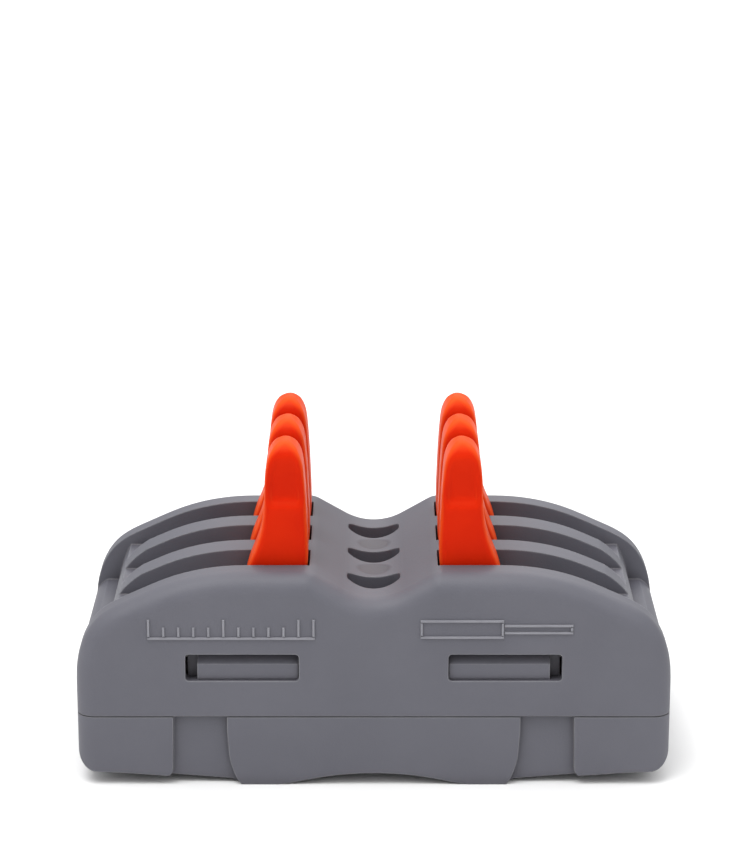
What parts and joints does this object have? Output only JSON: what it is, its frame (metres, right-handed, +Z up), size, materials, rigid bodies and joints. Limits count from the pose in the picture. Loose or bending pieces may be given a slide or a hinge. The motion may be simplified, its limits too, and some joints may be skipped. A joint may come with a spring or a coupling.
{
  "type": "lever wire connector",
  "caption": "Compact lever wire connector: side-by-side poles with a tilting clamp lever at each end, snapped onto a base cover.",
  "frame": {"origin": "middle of the underside, in the plane of the two feet", "axes": "+X along the wires towards the right end, +Y to the back long face, +Z up out of the levers"},
  "size_m": [0.04, 0.0186, 0.0233],
  "materials": {
    "housing_plastic": "fine moulded matt, dark grey",
    "base_plastic": "fine moulded matt, dark grey",
    "lever_plastic": "satin moulded, orange red",
    "spring_steel": "bright stainless strip",
    "busbar_metal": "tinned copper"
  },
  "bodies": {
    "body": {"housing": "housing_plastic", "base_cover": "base_plastic", "clamp_spring_left_front": "spring_steel", "clamp_spring_left_middle": "spring_steel", "clamp_spring_left_back": "spring_steel", "clamp_spring_right_front": "spring_steel", "clamp_spring_right_middle": "spring_steel", "clamp_spring_right_back": "spring_steel", "busbar_front": "busbar_metal", "busbar_middle": "busbar_metal", "busbar_back": "busbar_metal"},
    "lever_left_front": {"lever_left_front": "lever_plastic"},
    "lever_left_middle": {"lever_left_middle": "lever_plastic"},
    "lever_left_back": {"lever_left_back": "lever_plastic"},
    "lever_right_front": {"lever_right_front": "lever_plastic"},
    "lever_right_middle": {"lever_right_middle": "lever_plastic"},
    "lever_right_back": {"lever_right_back": "lever_plastic"}
  },
  "joints": [
    {"name": "lever_left_front_hinge", "type": "hinge", "parent": "body", "child": "lever_left_front", "pos_m": [-0.007, -0.0052, 0.01215], "axis": [0, -1, 0], "range_deg": [0, 90], "deforming": ["clamp_spring_left_front"]},
    {"name": "lever_left_middle_hinge", "type": "hinge", "parent": "body", "child": "lever_left_middle", "pos_m": [-0.007, 0, 0.01215], "axis": [0, -1, 0], "range_deg": [0, 90], "deforming": ["clamp_spring_left_middle"]},
    {"name": "lever_left_back_hinge", "type": "hinge", "parent": "body", "child": "lever_left_back", "pos_m": [-0.007, 0.0052, 0.01215], "axis": [0, -1, 0], "range_deg": [0, 90], "deforming": ["clamp_spring_left_back"]},
    {"name": "lever_right_front_hinge", "type": "hinge", "parent": "body", "child": "lever_right_front", "pos_m": [0.007, -0.0052, 0.01215], "axis": [0, 1, 0], "range_deg": [0, 90], "deforming": ["clamp_spring_right_front"]},
    {"name": "lever_right_middle_hinge", "type": "hinge", "parent": "body", "child": "lever_right_middle", "pos_m": [0.007, 0, 0.01215], "axis": [0, 1, 0], "range_deg": [0, 90], "deforming": ["clamp_spring_right_middle"]},
    {"name": "lever_right_back_hinge", "type": "hinge", "parent": "body", "child": "lever_right_back", "pos_m": [0.007, 0.0052, 0.01215], "axis": [0, 1, 0], "range_deg": [0, 90], "deforming": ["clamp_spring_right_back"]}
  ]
}
